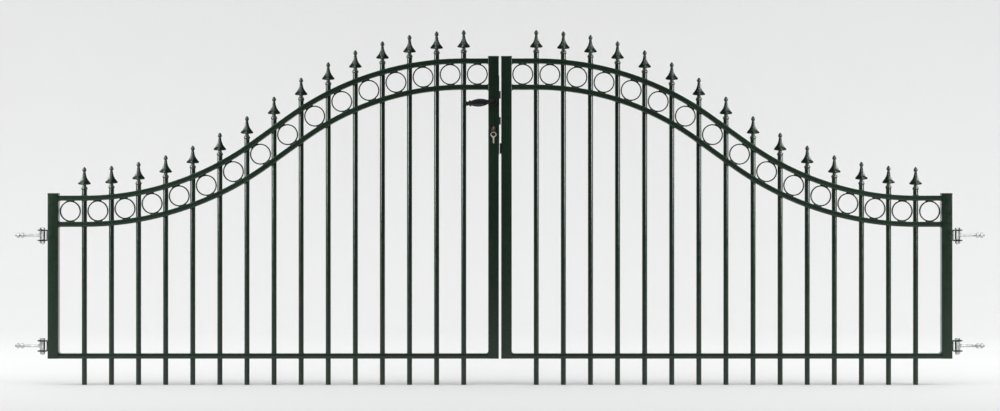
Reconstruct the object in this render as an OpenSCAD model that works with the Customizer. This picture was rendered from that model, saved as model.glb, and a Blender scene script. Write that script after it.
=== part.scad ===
// Double-leaf driveway gate with a swan-neck top, hung between two posts.
// Origin: where the lower left eye bolt's axis meets the left post's face.
// +X runs along the opening to the right post, +Z is up, the front faces -Y.

/* [Opening] */
// Clear distance between the faces of the two posts
opening_w = 3180; // [1800:10:5000]
// Space between the two closed leaves
meeting_gap = 8; // [7:0.5:14]
// Post face to hinge pin
post_to_pin = 70; // [55:1:120]
// Hinge pin to the outer face of the hinge stile
pin_to_stile = 20; // [15:1:40]

/* [Leaf frame] */
// Height of the hinge stile
hinge_stile_h = 545; // [440:5:1200]
// Height of the lock stile and of the meeting stile
lock_stile_h = 1000; // [800:5:1400]
// Side of the square stiles
stile_w = 35; // [30:1:60]
// How far a stile stands above the top rail
stile_over = 4; // [0:1:30]
// Height of a rail's section
rail_h = 17; // [12:1:30]
// Depth of a rail's section, front to back
rail_d = 30; // [24:1:35]
// Straight stretch between the two arcs of a curved rail
curve_straight = 150; // [0:5:300]
// Share of the two arcs' summed radius that the lower arc has
lower_arc_share = 0.49; // [0.35:0.01:0.65]
// Height of a stile cap
cap_h = 4; // [2:0.5:12]
// How far a stile cap stands out past the stile
cap_lip = 0.8; // [0:0.1:2]

/* [Bars and rings] */
// Diameter of the bars
bar_d = 17; // [12:0.2:21]
// Length of the feet below the bottom rail
foot_h = 87; // [0:1:150]
// How far a bar stands above the top rail
bar_over = 18; // [8:1:60]
// Outer diameter of the rings, which is also the space between the curved rails
ring_od = 70; // [50:1:110]
// Wall of the rings
ring_t = 4; // [2:0.5:8]
// Depth of the rings, front to back
ring_d = 12; // [6:1:24]
// Least space between a ring and the bars beside it
ring_side = 1.5; // [1:0.5:10]
// How much wider the bay beside the hinge stile is
hinge_bay_extra = 3; // [0:0.5:20]

/* [Finials] */
// Height of a finial above its bar
finial_h = 77; // [60:1:120]
// Width across a finial's skirt
finial_w = 42; // [30:1:60]
// Diameter of the collar at a finial's foot
finial_collar_d = 20.6; // [18:0.2:28]
// Diameter of the pointed bud
finial_bud_d = 13.6; // [10:0.2:20]
// Diameter of the neck under the bud
finial_neck_d = 9; // [6:0.5:10]
// Thickness of a finial's four wings
finial_wing_t = 7; // [4:0.5:8]

/* [Hinges] */
// Height of the lower hinge above the underside of the leaf
hinge_low = 42; // [30:1:120]
// Height of the upper hinge above the underside of the leaf
hinge_high = 409; // [200:1:500]
// Thickness of the bracket's flat bar
bracket_t = 4; // [3:0.5:8]
// Depth of the bracket, front to back
bracket_d = 26; // [22:1:35]
// Space between the bracket's two flanges
bracket_gap = 30; // [20:1:60]
// How far the bracket reaches past the hinge pin
bracket_past = 15; // [12:1:25]
// Diameter of the hinge bolt and of the eye bolt's rod
bolt_d = 10; // [8:1:12]
// Length of the eye bolt, from the hinge pin to its free end
eye_bolt_l = 90; // [85:1:160]
// Outer diameter of the eye bolt's sleeve
sleeve_d = 18.6; // [16:0.2:26]
// Thickness of the post's flange, held between the two nuts
flange_t = 6; // [4:1:20]

/* [Lock] */
// Height of the handles' spindle above the underside of the leaf
spindle_z = 853; // [700:1:900]
// Spindle to the middle of the lock cylinder
lock_centres = 90; // [80:1:110]
// Middle of the dead bolt above the middle of the lock cylinder
dead_bolt_up = 26.5; // [24:0.5:32]
// Middle of the latch bolt above the spindle
latch_up = 22.5; // [20:0.5:30]
// Height of the forend plate
forend_h = 263; // [220:1:300]
// Width of the forend plate
forend_w = 24; // [20:1:30]
// Thickness of the forend plate
forend_t = 1.5; // [1:0.5:3]
// Middle of the forend plate below the spindle
forend_down = 44.5; // [30:0.5:60]
// Height of the latch bolt and of the dead bolt
bolt_h = 25; // [16:1:30]
// Thickness of the latch bolt
latch_t = 12; // [8:1:16]
// Thickness of the dead bolt
dead_bolt_t = 8; // [6:1:12]
// Length of the latch bolt and of the dead bolt
bolt_l = 22; // [16:1:24]
// Height of the stop block
stop_h = 35; // [20:1:60]
// Middle of the stop block below the lock cylinder
stop_down = 65.5; // [55:0.5:90]
// Depth of the stop block, front to back
stop_d = 24; // [12:1:35]

/* [Handle and keys] */
// Spindle axis to the end of the lever
lever_l = 94; // [75:1:130]
// Middle of the lever's grip in front of the stile
lever_out = 40; // [34:1:60]
// Largest diameter of the lever's grip
grip_d = 22; // [16:1:28]
// Diameter of the lever's shank
shank_d = 11; // [9:0.5:14]
// How far the end of the lever hangs below the spindle
lever_drop = 7; // [0:1:15]
// Side of the square spindle
spindle_w = 7; // [6:0.5:8]
// Diameter of the handle roses
rose_d = 28; // [24:1:34]
// Thickness of the handle roses
rose_t = 4; // [3:0.5:8]
// How far the lock cylinder stands out of the stile
cylinder_out = 2; // [0.5:0.5:6]
// Width of a key's bow
bow_d = 20; // [16:1:26]
// Thickness of a key
key_t = 2.2; // [1.5:0.1:3]
// Middle diameter of the split ring
split_ring_d = 14; // [12:1:30]
// Wire of the split ring
split_wire_d = 1.6; // [1:0.1:2]

/* [Hidden] */

$fn = 64;
paint = [0.13, 0.20, 0.14];
zinc = [0.78, 0.79, 0.80];
black_iron = [0.07, 0.07, 0.08];
nickel = [0.70, 0.67, 0.60];

// Clearances
weld_fit = 0.2;      // a welded piece and what it is welded to
pin_fit = 0.3;       // the hinge bolt in its sleeve and its bracket
thread_fit = 0.1;    // a nut on its rod
lock_fit = 0.4;      // a bolt, the cylinder or the spindle in its cut-out
bolt_short = 1.5;    // what reaches across the meeting gap ends this far from the other leaf
strike_room = 2;     // a bolt in the other leaf's cut-out, in all
lap = 1;             // a rail's straight stretches run into its arcs by this much
lap_step = 0.02;     // and are this much slimmer on each face, so that the two join cleanly

// Places along a leaf, from the hinge pin
leaf_w = (opening_w - meeting_gap) / 2 - post_to_pin - pin_to_stile;
hinge_stile_x = pin_to_stile;
lock_stile_x = pin_to_stile + leaf_w - stile_w;
meeting_x = lock_stile_x + stile_w;
inner_x = hinge_stile_x + stile_w;
inner_w = leaf_w - 2 * stile_w;

// As many bars as leave a ring its room in each bay
least_bay = ring_od + 2 * ring_side;
bar_count = floor((inner_w - least_bay - hinge_bay_extra) / (least_bay + bar_d));
bay_w = (inner_w - hinge_bay_extra - bar_count * bar_d) / (bar_count + 1);
bar_pitch = bay_w + bar_d;
first_bar_x = inner_x + hinge_bay_extra + bay_w + bar_d / 2;
last_bar_x = first_bar_x + (bar_count - 1) * bar_pitch;
bar_places = [for (i = [0:bar_count - 1]) first_bar_x + i * bar_pitch];
ring_places = concat(
  [inner_x + (hinge_bay_extra + bay_w) / 2],
  [for (i = [1:bar_count]) first_bar_x + (i - 0.5) * bar_pitch]
);

// The swan neck of the top rail's middle line: an arc up from the hinge side,
// a straight stretch that touches both arcs, and an arc over to the lock side
low_z = hinge_stile_h - stile_over - rail_h / 2;
high_z = lock_stile_h - stile_over - rail_h / 2;
curve_rise = high_z - low_z;
curve_run = last_bar_x - first_bar_x;
arcs_r = (pow(curve_run, 2) + pow(curve_rise, 2) - pow(curve_straight, 2)) / (2 * curve_rise);
slope_a = atan2(curve_run, arcs_r - curve_rise) - atan2(curve_straight, arcs_r);
lower_r = arcs_r * lower_arc_share;
upper_r = arcs_r - lower_r;
band = ring_od + rail_h;    // between the middle lines of the two curved rails

hole_d = bar_d + 2 * weld_fit;
lock_x = lock_stile_x + stile_w / 2;
cylinder_z = spindle_z - lock_centres;
reach = meeting_gap - forend_t - bolt_short;    // bolts stand out of the forend this far
nut_w = bolt_d * 1.7;
nut_h = bolt_d * 0.8;
head_h = bolt_d * 0.64;
cylinder_d = 17;
cylinder_lobe_w = 10;
cylinder_h = 33;
spindle_half = stile_w / 2 + 15;

// Height of the line that runs parallel to the top rail's middle line, drop below it
function curve_z(x, drop) =
  let (
    low = lower_r + drop,
    up = upper_r - drop,
    low_end = first_bar_x + low * sin(slope_a),
    up_start = last_bar_x - up * sin(slope_a)
  )
  x <= first_bar_x ? low_z - drop
  : x <= low_end ? low_z + lower_r - sqrt(pow(low, 2) - pow(x - first_bar_x, 2))
  : x <= up_start ? low_z + lower_r - low * cos(slope_a) + (x - low_end) * tan(slope_a)
  : x <= last_bar_x ? high_z - upper_r + sqrt(pow(up, 2) - pow(last_bar_x - x, 2))
  : high_z - drop;

// Puts a leaf's piece, made from the hinge pin and the leaf's underside, in its place
module left_place() { translate([post_to_pin, 0, -hinge_low]) children(); }
module right_place() { translate([opening_w, 0, 0]) mirror([1, 0, 0]) left_place() children(); }
module right_anchor() { translate([opening_w, 0, 0]) mirror([1, 0, 0]) children(); }

// A box between two corners along x and z, centred on the leaf's plane
module slab(x0, x1, depth, z0, z1) {
  translate([x0, -depth / 2, z0]) cube([x1 - x0, depth, z1 - z0]);
}

module hex_prism(across, height) {
  cylinder(d = across / cos(30), h = height, $fn = 6);
}

// Holes for the bars, straight through a rail
module bar_holes(z0, z1) {
  for (x = bar_places) translate([x, 0, z0]) cylinder(d = hole_d, h = z1 - z0);
}

// An arc of a curved rail: centre, middle radius, first angle and sweep, from +X towards +Z
module rail_arc(centre_x, centre_z, radius, first, sweep) {
  translate([centre_x, 0, centre_z]) rotate([90, 0, 0])
    rotate_extrude(angle = sweep, start = first, $fn = 360)
      translate([radius - rail_h / 2, -rail_d / 2]) square([rail_h, rail_d]);
}

// A curved rail whose middle line lies drop below the top rail's
module curved_rail(drop) {
  low = lower_r + drop;
  up = upper_r - drop;
  straight_x = first_bar_x + low * sin(slope_a);
  straight_z = low_z + lower_r - low * cos(slope_a);
  half = rail_h / 2 - lap_step;
  depth = rail_d - 2 * lap_step;
  difference() {
    union() {
      slab(inner_x, first_bar_x + lap, depth, low_z - drop - half, low_z - drop + half);
      rail_arc(first_bar_x, low_z + lower_r, low, -90, slope_a);
      translate([straight_x, 0, straight_z]) rotate([0, -slope_a, 0])
        slab(-lap, curve_straight + lap, depth, -half, half);
      rail_arc(last_bar_x, high_z - upper_r, up, 90, slope_a);
      translate([lock_stile_x, 0, 0])
        slab(last_bar_x - lap - lock_stile_x, 0, depth, high_z - drop - half, high_z - drop + half);
    }
    bar_holes(low_z - drop - 2 * rail_h, high_z - drop + 2 * rail_h);
  }
}

module bottom_rail() {
  difference() {
    slab(inner_x, lock_stile_x, rail_d, 0, rail_h);
    bar_holes(-1, rail_h + 1);
  }
}

// Each bar hangs down from the height of its finial's foot
module bars() {
  for (x = bar_places) {
    top_z = curve_z(x, -rail_h / 2) + bar_over;
    translate([x, 0, top_z]) translate([0, 0, -top_z - foot_h]) cylinder(d = bar_d, h = top_z + foot_h);
  }
}

module rings() {
  outer = ring_od / 2 - weld_fit;
  for (x = ring_places)
    translate([x, ring_d / 2, curve_z(x, band / 2)]) rotate([90, 0, 0])
      difference() {
        cylinder(r = outer, h = ring_d);
        translate([0, 0, -1]) cylinder(r = outer - ring_t, h = ring_d + 2);
      }
}

// Half outline of a finial's turned core, from its foot to its tip
core_outline = [
  [0, 0], [bar_d / 2, 0], [finial_collar_d / 2, finial_h * 0.06], [finial_collar_d / 2, finial_h * 0.12],
  [finial_neck_d / 2 + 0.5, finial_h * 0.22], [finial_neck_d / 2 + 2, finial_h * 0.3],
  [finial_neck_d / 2, finial_h * 0.78],
  [finial_bud_d / 2, finial_h * 0.84], [finial_bud_d / 2, finial_h * 0.89],
  [finial_bud_d / 2 * 0.5, finial_h * 0.96], [0, finial_h]
];
// Outline of one wing, from under the skirt up to the neck
wing_outline = [
  [finial_w * 0.4, finial_h * 0.26], [finial_w / 2, finial_h * 0.3], [finial_w / 2, finial_h * 0.33],
  [finial_w * 0.37, finial_h * 0.42], [finial_w * 0.24, finial_h * 0.53], [finial_w * 0.15, finial_h * 0.68],
  [finial_neck_d / 2, finial_h * 0.76]
];
far_wing_outline = [for (i = [len(wing_outline) - 1:-1:0]) [-wing_outline[i][0], wing_outline[i][1]]];

module finial() {
  rotate_extrude() polygon(core_outline);
  for (turn = [0, 90])
    rotate([0, 0, turn]) translate([0, finial_wing_t / 2, 0]) rotate([90, 0, 0])
      linear_extrude(finial_wing_t)
        polygon(concat([[0, finial_h * 0.28]], wing_outline, far_wing_outline));
}

module finials() {
  for (x = bar_places) translate([x, 0, curve_z(x, -rail_h / 2) + bar_over]) finial();
}

// A cap with its upper edge bevelled on all four sides
module stile_cap(x0, z0) {
  w = stile_w + 2 * cap_lip;
  bevel = cap_h / 2;
  outline = [[0, 0], [w, 0], [w, cap_h - bevel], [w - bevel, cap_h], [bevel, cap_h], [0, cap_h - bevel]];
  translate([x0 - cap_lip, 0, z0])
    intersection() {
      translate([0, w / 2, 0]) rotate([90, 0, 0]) linear_extrude(w) polygon(outline);
      translate([0, -w / 2, 0]) rotate([90, 0, 90]) linear_extrude(w) polygon(outline);
    }
}

module stile_caps() {
  stile_cap(hinge_stile_x, hinge_stile_h);
  stile_cap(lock_stile_x, lock_stile_h);
}

// U-shaped bracket: a web on the stile and two flanges that take the hinge bolt
module hinge_bracket(z) {
  half = bracket_gap / 2 + bracket_t;
  difference() {
    slab(-bracket_past, hinge_stile_x, bracket_d, z - half, z + half);
    slab(-bracket_past - 1, hinge_stile_x - bracket_t, bracket_d + 2, z - bracket_gap / 2, z + bracket_gap / 2);
    translate([0, 0, z - half - 1]) cylinder(d = bolt_d + 2 * pin_fit, h = 2 * half + 2);
  }
}

module hinge_brackets() {
  hinge_bracket(hinge_low);
  hinge_bracket(hinge_high);
}

// Hexagon bolt down through the bracket, with its nut underneath
module hinge_bolt(z) {
  half = bracket_gap / 2 + bracket_t;
  translate([0, 0, z + half]) hex_prism(nut_w, head_h);
  translate([0, 0, z - half - nut_h - 3]) cylinder(d = bolt_d, h = 2 * half + nut_h + 3);
  translate([0, 0, z - half - nut_h])
    difference() {
      hex_prism(nut_w, nut_h);
      translate([0, 0, -1]) cylinder(d = bolt_d + 2 * thread_fit, h = nut_h + 2);
    }
}

module hinge_bolts() {
  hinge_bolt(hinge_low);
  hinge_bolt(hinge_high);
}

// A sleeve round the hinge bolt and a rod that goes through the post's flange
module eye_bolt(z) {
  sleeve_h = bracket_gap - 2 * pin_fit;
  translate([post_to_pin, 0, z])
    difference() {
      union() {
        translate([0, 0, -sleeve_h / 2]) cylinder(d = sleeve_d, h = sleeve_h);
        translate([-eye_bolt_l, 0, 0]) rotate([0, 90, 0]) cylinder(d = bolt_d, h = eye_bolt_l - bolt_d / 2);
      }
      translate([0, 0, -sleeve_h / 2 - 1]) cylinder(d = bolt_d + 2 * pin_fit, h = sleeve_h + 2);
    }
}

// The nuts on both sides of the post's flange
module rod_nuts(z) {
  for (x = [0, -flange_t - nut_h])
    translate([x, 0, z]) rotate([0, 90, 0])
      difference() {
        hex_prism(nut_w, nut_h);
        translate([0, 0, -1]) cylinder(d = bolt_d + 2 * thread_fit, h = nut_h + 2);
      }
}

// A bolt's cut-out, from the leaf's meeting edge inwards
module bolt_pocket(z, thickness, depth) {
  slab(meeting_x - depth, meeting_x + forend_t + 1, thickness + 2 * lock_fit,
       z - bolt_h / 2 - lock_fit, z + bolt_h / 2 + lock_fit);
}

// Outline of the lock cylinder, grown by a clearance, along y
module cylinder_shape(grow, y0, y1) {
  translate([lock_x, y1, cylinder_z]) rotate([90, 0, 0]) {
    cylinder(d = cylinder_d + 2 * grow, h = y1 - y0);
    translate([-cylinder_lobe_w / 2 - grow, cylinder_d / 2 - cylinder_h + cylinder_lobe_w / 2, 0])
      cube([cylinder_lobe_w + 2 * grow, cylinder_h - cylinder_d / 2 - cylinder_lobe_w / 2, y1 - y0]);
    translate([0, cylinder_d / 2 - cylinder_h + cylinder_lobe_w / 2, 0])
      cylinder(d = cylinder_lobe_w + 2 * grow, h = y1 - y0);
  }
}

module plain_lock_stile() {
  slab(lock_stile_x, meeting_x, stile_w, 0, lock_stile_h);
}

module hinge_stile() {
  slab(hinge_stile_x, inner_x, stile_w, 0, hinge_stile_h);
}

module left_hinge_stile() { color(paint) left_place() hinge_stile(); }
module left_lock_stile() {
  pocket = bolt_l + reach - forend_t;
  color(paint) left_place()
    difference() {
      plain_lock_stile();
      bolt_pocket(spindle_z + latch_up, latch_t, pocket);
      bolt_pocket(cylinder_z + dead_bolt_up, dead_bolt_t, pocket);
      cylinder_shape(lock_fit, -stile_w, stile_w);
      translate([lock_x, stile_w, spindle_z]) rotate([90, 0, 0])
        cylinder(d = spindle_w * sqrt(2) + 2 * lock_fit, h = 2 * stile_w);
    }
}
module left_bottom_rail() { color(paint) left_place() bottom_rail(); }
module left_ring_rail() { color(paint) left_place() curved_rail(band); }
module left_top_rail() { color(paint) left_place() curved_rail(0); }
module left_bars() { color(paint) left_place() bars(); }
module left_finials() { color(paint) left_place() finials(); }
module left_rings() { color(paint) left_place() rings(); }
module left_stile_caps() { color(paint) left_place() stile_caps(); }
module left_hinge_brackets() { color(paint) left_place() hinge_brackets(); }
module left_hinge_bolts() { color(zinc) left_place() hinge_bolts(); }

module right_hinge_stile() { color(paint) right_place() hinge_stile(); }
module right_meeting_stile() {
  color(paint) right_place()
    difference() {
      plain_lock_stile();
      bolt_pocket(spindle_z + latch_up, latch_t + strike_room, stile_w / 2);
      bolt_pocket(cylinder_z + dead_bolt_up, dead_bolt_t + strike_room, stile_w / 2);
    }
}
module right_bottom_rail() { color(paint) right_place() bottom_rail(); }
module right_ring_rail() { color(paint) right_place() curved_rail(band); }
module right_top_rail() { color(paint) right_place() curved_rail(0); }
module right_bars() { color(paint) right_place() bars(); }
module right_finials() { color(paint) right_place() finials(); }
module right_rings() { color(paint) right_place() rings(); }
module right_stile_caps() { color(paint) right_place() stile_caps(); }
module right_hinge_brackets() { color(paint) right_place() hinge_brackets(); }
module right_hinge_bolts() { color(zinc) right_place() hinge_bolts(); }

// Fills the meeting gap, short of the other leaf's forend
module stop_block() {
  z = cylinder_z - stop_down;
  color(paint) right_place()
    slab(meeting_x, meeting_x + meeting_gap - forend_t - bolt_short, stop_d, z - stop_h / 2, z + stop_h / 2);
}

module lock_forend() {
  z = spindle_z - forend_down;
  color(zinc) left_place()
    difference() {
      slab(meeting_x, meeting_x + forend_t, forend_w, z - forend_h / 2, z + forend_h / 2);
      bolt_pocket(spindle_z + latch_up, latch_t, 1);
      bolt_pocket(cylinder_z + dead_bolt_up, dead_bolt_t, 1);
    }
}

// Latch bolt with one slanted side, which rides over the strike as the leaf closes
module latch_bolt() {
  tip_x = meeting_x + forend_t + reach;
  z = spindle_z + latch_up;
  color(zinc) left_place()
    translate([0, 0, z - bolt_h / 2]) linear_extrude(bolt_h)
      polygon([
        [tip_x - bolt_l, -latch_t / 2], [tip_x, -latch_t / 2], [tip_x, -latch_t / 6],
        [tip_x - reach, latch_t / 2], [tip_x - bolt_l, latch_t / 2]
      ]);
}

module dead_bolt() {
  tip_x = meeting_x + forend_t + reach;
  z = cylinder_z + dead_bolt_up;
  color(zinc) left_place()
    slab(tip_x - bolt_l, tip_x, dead_bolt_t, z - bolt_h / 2, z + bolt_h / 2);
}

module lock_cylinder() {
  half = stile_w / 2 + cylinder_out;
  color(nickel) left_place() cylinder_shape(0, -half, half);
}

// Round rose on the stile's face, with room for the lever's shank; side is -1 in front and 1 behind
module rose(side) {
  y = side * stile_w / 2;
  left_place() translate([lock_x, y, spindle_z]) rotate([side * -90, 0, 0])
    difference() {
      cylinder(d = rose_d, h = rose_t);
      translate([0, 0, -1]) cylinder(d = shank_d + 2 * lock_fit, h = rose_t + 2);
    }
}
module front_rose() { color(black_iron) rose(-1); }
module rear_rose() { color(black_iron) rose(1); }

// Half outline of the grip: its radius at each distance from the spindle
grip_outline = [
  [0, 0], [shank_d / 2, 0], [shank_d * 0.4, lever_l * 0.12], [shank_d * 0.55, lever_l * 0.15],
  [shank_d * 0.55, lever_l * 0.19], [shank_d * 0.45, lever_l * 0.21], [grip_d * 0.4, lever_l * 0.34],
  [grip_d / 2, lever_l * 0.5], [grip_d * 0.42, lever_l * 0.66], [grip_d * 0.25, lever_l * 0.78],
  [grip_d * 0.36, lever_l * 0.81], [grip_d * 0.36, lever_l * 0.85], [grip_d * 0.16, lever_l * 0.88],
  [grip_d * 0.22, lever_l * 0.93], [grip_d * 0.2, lever_l * 0.98], [0, lever_l]
];

module lever(side) {
  y = side * (stile_w / 2 + lever_out);
  sag = asin(lever_drop / lever_l);
  left_place() translate([lock_x, 0, spindle_z])
    difference() {
      union() {
        translate([0, side * (stile_w / 2 + pin_fit), 0]) rotate([side * -90, 0, 0])
          cylinder(d = shank_d, h = lever_out - pin_fit);
        translate([0, y, 0]) sphere(d = shank_d * 1.25);
        translate([0, y, 0]) rotate([0, -90 - sag, 0]) rotate_extrude() polygon(grip_outline);
      }
      spindle_bar(thread_fit, spindle_half + 1);
    }
}

// Square bar through the lock, centred on its axis; half is its half length
module spindle_bar(grow, half) {
  w = spindle_w + 2 * grow;
  translate([-w / 2, -half, -w / 2]) cube([w, 2 * half, w]);
}

module front_handle() { color(black_iron) lever(-1); }
module rear_handle() { color(black_iron) lever(1); }
module handle_spindle() {
  color(zinc) left_place() translate([lock_x, 0, spindle_z]) spindle_bar(0, spindle_half);
}

hole_r = 3.2;                                           // hole in a key's bow
bow_edge = 2;                                           // left between the hole and the bow's rim
bow_clear = 5;                                          // cylinder to the bow of the key in it
blade_w = 7;
blade_l = 18;                                           // past the bow's rim
bow_y = -stile_w / 2 - cylinder_out - bow_clear - bow_d / 2;    // middle of the bow
hole_y = bow_y - bow_d / 2 + hole_r + bow_edge;
ring_seat = hole_r / 2;                                 // the ring's wire lies this far off a hole's middle
ring_top_z = cylinder_z - ring_seat;
ring_low_z = ring_top_z - split_ring_d;

// Key in the lock: blade along y, bow upright
module key() {
  color(nickel) left_place()
    difference() {
      union() {
        translate([lock_x - key_t / 2, bow_y, cylinder_z]) rotate([0, 90, 0]) cylinder(d = bow_d, h = key_t);
        translate([lock_x - key_t / 2, bow_y, cylinder_z - blade_w / 2])
          cube([key_t, -stile_w / 2 - cylinder_out - pin_fit - bow_y, blade_w]);
      }
      translate([lock_x - key_t, hole_y, cylinder_z]) rotate([0, 90, 0]) cylinder(r = hole_r, h = 2 * key_t);
    }
}

// Ring through both bows, turned halfway between them
module key_ring() {
  color(nickel) left_place()
    translate([lock_x, hole_y, ring_top_z - split_ring_d / 2]) rotate([0, 0, 45]) rotate([90, 0, 0])
      rotate_extrude() translate([split_ring_d / 2, 0]) circle(d = split_wire_d, $fn = 24);
}

// Second key, hanging from the ring with its flat side to the front
module spare_key() {
  hole_z = ring_low_z - ring_seat;
  bow_z = hole_z + hole_r + bow_edge - bow_d / 2;
  color(nickel) left_place()
    translate([lock_x, hole_y + key_t / 2, 0]) rotate([90, 0, 0])
      difference() {
        union() {
          translate([0, bow_z, 0]) cylinder(d = bow_d, h = key_t);
          translate([-blade_w / 2, bow_z - bow_d / 2 - blade_l, 0]) cube([blade_w, bow_d / 2 + blade_l, key_t]);
        }
        translate([0, hole_z, -1]) cylinder(r = hole_r, h = key_t + 2);
      }
}

upper_z = hinge_high - hinge_low;
module left_lower_eye_bolt() { color(zinc) eye_bolt(0); }
module left_upper_eye_bolt() { color(zinc) eye_bolt(upper_z); }
module right_lower_eye_bolt() { color(zinc) right_anchor() eye_bolt(0); }
module right_upper_eye_bolt() { color(zinc) right_anchor() eye_bolt(upper_z); }
module left_lower_nuts() { color(zinc) rod_nuts(0); }
module left_upper_nuts() { color(zinc) rod_nuts(upper_z); }
module right_lower_nuts() { color(zinc) right_anchor() rod_nuts(0); }
module right_upper_nuts() { color(zinc) right_anchor() rod_nuts(upper_z); }

left_hinge_stile();
left_lock_stile();
left_bottom_rail();
left_ring_rail();
left_top_rail();
left_bars();
left_finials();
left_rings();
left_stile_caps();
left_hinge_brackets();
left_hinge_bolts();
lock_forend();
latch_bolt();
dead_bolt();
lock_cylinder();
front_rose();
rear_rose();
front_handle();
rear_handle();
handle_spindle();
key();
key_ring();
spare_key();
right_hinge_stile();
right_meeting_stile();
right_bottom_rail();
right_ring_rail();
right_top_rail();
right_bars();
right_finials();
right_rings();
right_stile_caps();
right_hinge_brackets();
right_hinge_bolts();
stop_block();
left_lower_eye_bolt();
left_upper_eye_bolt();
right_lower_eye_bolt();
right_upper_eye_bolt();
left_lower_nuts();
left_upper_nuts();
right_lower_nuts();
right_upper_nuts();
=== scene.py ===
import bpy
import numpy as np
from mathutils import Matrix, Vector


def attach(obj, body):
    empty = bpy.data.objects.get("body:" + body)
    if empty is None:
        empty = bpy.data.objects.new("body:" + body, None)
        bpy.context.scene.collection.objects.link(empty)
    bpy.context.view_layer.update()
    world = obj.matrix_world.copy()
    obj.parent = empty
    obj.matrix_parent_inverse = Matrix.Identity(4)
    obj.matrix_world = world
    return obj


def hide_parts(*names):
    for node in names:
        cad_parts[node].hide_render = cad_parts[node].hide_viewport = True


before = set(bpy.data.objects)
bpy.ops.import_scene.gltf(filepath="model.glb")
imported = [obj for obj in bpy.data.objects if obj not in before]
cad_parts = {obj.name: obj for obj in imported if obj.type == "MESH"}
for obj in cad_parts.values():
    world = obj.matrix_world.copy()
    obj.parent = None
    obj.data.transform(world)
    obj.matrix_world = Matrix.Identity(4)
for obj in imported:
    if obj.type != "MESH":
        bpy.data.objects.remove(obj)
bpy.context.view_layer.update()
print("frame loaded")

# Shapes are worked out in millimetres in a leaf's own frame: x from the hinge pin,
# y from the leaf's middle plane, z from the leaf's underside
gate = {"openingWidth": 3180, "pinFromPost": 70, "undersideZ": -42, "innerX": 55, "lockStileX": 1481}
upward = np.array([0, 0, 1.0])


# Grids, solids and meshes

def turnAngles(steps):  # equal steps once round
    return np.arange(steps) * 2 * np.pi / steps


def circlePoints(radius, steps, start=0.0):  # (cos, sin) times the radius, counter-clockwise
    angle = start + turnAngles(steps)
    return radius * np.stack([np.cos(angle), np.sin(angle)], -1)


def gridOf(x, y, z):  # points from x, y and z, each repeated to the shape they have in common
    return np.stack(np.broadcast_arrays(x, y, z), -1)


def roundedRect(width, height, radius, steps=4):  # four quarter circles, joined by the straight sides
    angle = np.arange(4)[:, None] * np.pi / 2 + np.linspace(0, np.pi / 2, steps)
    cornerX = (width / 2 - radius) * np.array([1, -1, -1, 1])[:, None]
    cornerY = (height / 2 - radius) * np.array([1, 1, -1, -1])[:, None]
    return np.stack([cornerX + radius * np.cos(angle), cornerY + radius * np.sin(angle)], -1).reshape(-1, 2)


def smoothLine(controls, steps):  # Catmull-Rom cubic through the control rows, so many steps a stretch
    rows = np.asarray(controls, float)
    rows = np.vstack([2 * rows[0] - rows[1], rows, 2 * rows[-1] - rows[-2]])
    a, b, c, d = rows[:-3, None], rows[1:-2, None], rows[2:-1, None], rows[3:, None]
    t = np.linspace(0, 1, steps, endpoint=False)[None, :, None]
    line = b + 0.5 * ((c - a) * t + (2 * a - 5 * b + 4 * c - d) * t**2 + (3 * b - a - 3 * c + d) * t**3)
    return np.vstack([line.reshape(-1, rows.shape[1]), rows[-2]])


def gridQuads(rows, cols, closedRows, closedCols):  # corner numbers of each cell of a grid of points
    row = np.arange(rows if closedRows else rows - 1)[:, None]
    col = np.arange(cols if closedCols else cols - 1)
    nextRow, nextCol = (row + 1) % rows, (col + 1) % cols
    cells = np.broadcast_arrays(row * cols + col, row * cols + nextCol, nextRow * cols + nextCol,
                                nextRow * cols + col)
    return np.stack(cells, -1)


def solid(grid, ring=False):
    # Rows of closed outlines make a tube, which ends in two caps or meets itself as a ring
    rows, cols = grid.shape[:2]
    faces = [gridQuads(rows, cols, ring, True).reshape(-1, 4)]
    for row, way in () if ring else ((0, -1), (rows - 1, 1)):
        if np.ptp(grid[row], axis=0).max() > 1e-6:  # a row drawn in to one point needs no cap
            faces.append((row * cols + np.arange(cols))[::way][None])
    return grid.reshape(-1, 3), faces


def plate(front, back, keep=None, loop=False):
    # Two like grids, walled in round every edge of the kept cells; a loop joins last column to first
    rows, cols = front.shape[:2]
    cells = gridQuads(rows, cols, False, loop)
    keep = np.ones(cells.shape[:2], bool) if keep is None else keep
    around = np.pad(keep, 1)
    if loop:
        around[1:-1, 0], around[1:-1, -1] = keep[:, -1], keep[:, 0]
    count = rows * cols
    faces = [cells[keep], cells[keep][:, ::-1] + count]
    beside = (around[:-2, 1:-1], around[1:-1, 2:], around[2:, 1:-1], around[1:-1, :-2])
    for side in range(4):
        edge = cells[keep & ~beside[side]][:, [side, (side + 1) % 4]]
        faces.append(np.stack([edge[:, 1], edge[:, 0], edge[:, 0] + count, edge[:, 1] + count], -1))
    return np.concatenate([front.reshape(-1, 3), back.reshape(-1, 3)]), faces


def laidAlong(points, axis):  # turns +z to the named axis
    x, y, z = points[..., 0], points[..., 1], points[..., 2]
    return np.stack({"z": (x, y, z), "x": (z, x, y), "y": (y, z, x), "-y": (x, -z, y)}[axis], -1)


def turned(outline, centre, axis="z", steps=32, ring=False):
    # Each (radius, height) of the outline runs round a circle of that radius about the axis
    outline = np.asarray(outline, float)
    across = outline[:, :1, None] * circlePoints(1, steps)
    height = np.broadcast_to(outline[:, 1:, None], across.shape[:2] + (1,))
    grid = np.concatenate([across, height], -1)
    return solid(laidAlong(grid, axis) + np.asarray(centre, float), ring)


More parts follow.
